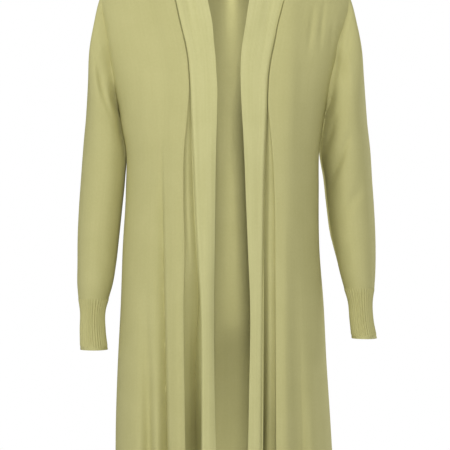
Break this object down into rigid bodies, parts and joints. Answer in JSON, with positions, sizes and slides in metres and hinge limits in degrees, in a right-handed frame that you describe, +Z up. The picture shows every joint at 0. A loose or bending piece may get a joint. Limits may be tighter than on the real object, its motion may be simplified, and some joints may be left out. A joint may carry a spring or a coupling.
{
  "type": "open-front cardigan",
  "caption": "Long open-front knitted cardigan with wide front bands, an inverted pleat beside each band, ribbed cuffs and hem, hollow and filled out as worn.",
  "frame": {"origin": "midway between the wearer's shoulders, at the height where the shoulder meets the neck", "axes": "+Z up, the front faces -Y, +X is the wearer's left"},
  "size_m": [0.5307, 0.2743, 0.9418],
  "materials": {
    "jersey": "soft matt fine knit",
    "band_knit": "soft matt fine knit",
    "rib_knit": "soft matt ribbed knit"
  },
  "bodies": {
    "root": {"back": "jersey", "front_right": "jersey", "front_left": "jersey", "band_right": "band_knit", "band_left": "band_knit", "sleeve_right": "jersey", "sleeve_left": "jersey", "cuff_right": "rib_knit", "cuff_left": "rib_knit", "hem_back": "rib_knit", "hem_front_right": "rib_knit", "hem_front_left": "rib_knit"}
  },
  "joints": []
}
